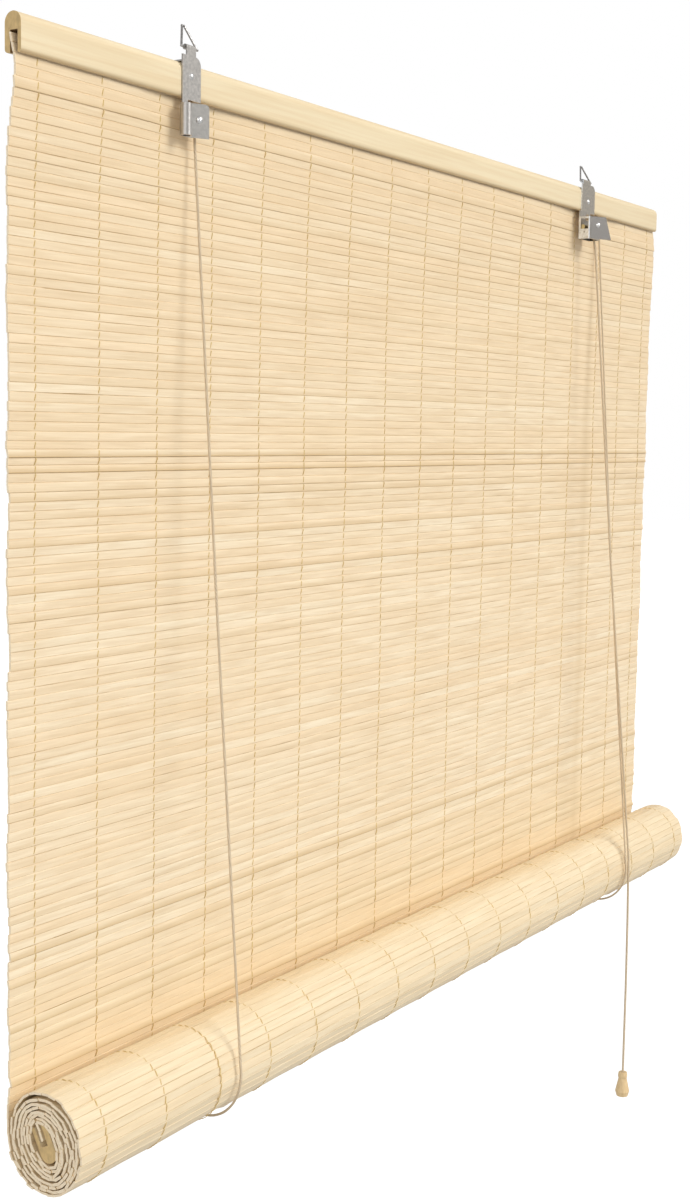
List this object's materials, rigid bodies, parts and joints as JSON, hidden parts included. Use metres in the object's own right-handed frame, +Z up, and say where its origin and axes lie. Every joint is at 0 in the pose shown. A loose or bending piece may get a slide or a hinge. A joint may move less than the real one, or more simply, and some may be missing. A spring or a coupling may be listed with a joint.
{
  "type": "bamboo roll up blind",
  "caption": "Woven bamboo slat blind on a slotted wooden headrail, rolled up round a bottom rail by two cords through a guide bracket and a cord lock, with hanging rings and a pull knob.",
  "frame": {"origin": "on the headrail's flat back face, at the middle of its length and height", "axes": "+X along the headrail to the right as seen from the room, +Y back towards the wall or window, +Z up"},
  "size_m": [1, 0.0772, 0.9523],
  "materials": {
    "rail_wood": "sanded",
    "bamboo": "natural",
    "sheet_steel": "zinc plated",
    "ring_wire": "plated",
    "roller_brass": "turned",
    "cord": "braided",
    "knob_wood": "turned"
  },
  "bodies": {
    "headrail": {"headrail": "rail_wood", "hanging_mat": "bamboo", "left_bracket": "sheet_steel", "right_bracket": "sheet_steel", "bracket_screws": "ring_wire", "guide_posts": "ring_wire", "cord_staples": "ring_wire", "left_lift_cord": "cord", "right_lift_cord": "cord", "pull_cord": "cord"},
    "cord_sling": {"pull_cord_tail": "cord"},
    "roll": {"rolled_mat": "bamboo", "bottom_rail": "rail_wood"},
    "knob": {"pull_knob": "knob_wood", "cord_knot": "cord"},
    "left_ring": {"left_ring": "ring_wire"},
    "right_ring": {"right_ring": "ring_wire"},
    "lock_roller": {"lock_roller": "roller_brass"}
  },
  "joints": [
    {"name": "roll_lift", "type": "slide", "parent": "headrail", "child": "cord_sling", "axis": [0, 0, 1], "range_m": [0, 0.38], "deforming": ["hanging_mat", "left_lift_cord", "right_lift_cord", "pull_cord"]},
    {"name": "roll_turn", "type": "hinge", "parent": "cord_sling", "child": "roll", "pos_m": [0, -0.036, -0.67325], "axis": [1, 0, 0], "range_deg": [-720, 0]},
    {"name": "knob_pull", "type": "slide", "parent": "cord_sling", "child": "knob", "axis": [0, 0, 1], "range_m": [-1.14, 0], "deforming": ["pull_cord_tail"]},
    {"name": "left_ring_swing", "type": "hinge", "parent": "headrail", "child": "left_ring", "pos_m": [-0.3305, -0.0121, 0.0215], "axis": [1, 0, 0], "range_deg": [-100, 140]},
    {"name": "right_ring_swing", "type": "hinge", "parent": "headrail", "child": "right_ring", "pos_m": [0.3085, -0.0121, 0.017], "axis": [1, 0, 0], "range_deg": [-80, 140]},
    {"name": "lock_roller_slide", "type": "slide", "parent": "headrail", "child": "lock_roller", "axis": [0, 0, 1], "range_m": [0, 0.0035]}
  ],
  "couplings": [
    {"joint": "roll_turn", "follows": "roll_lift", "rad_per_m": -33.069},
    {"joint": "knob_pull", "follows": "roll_lift", "ratio": -3}
  ]
}
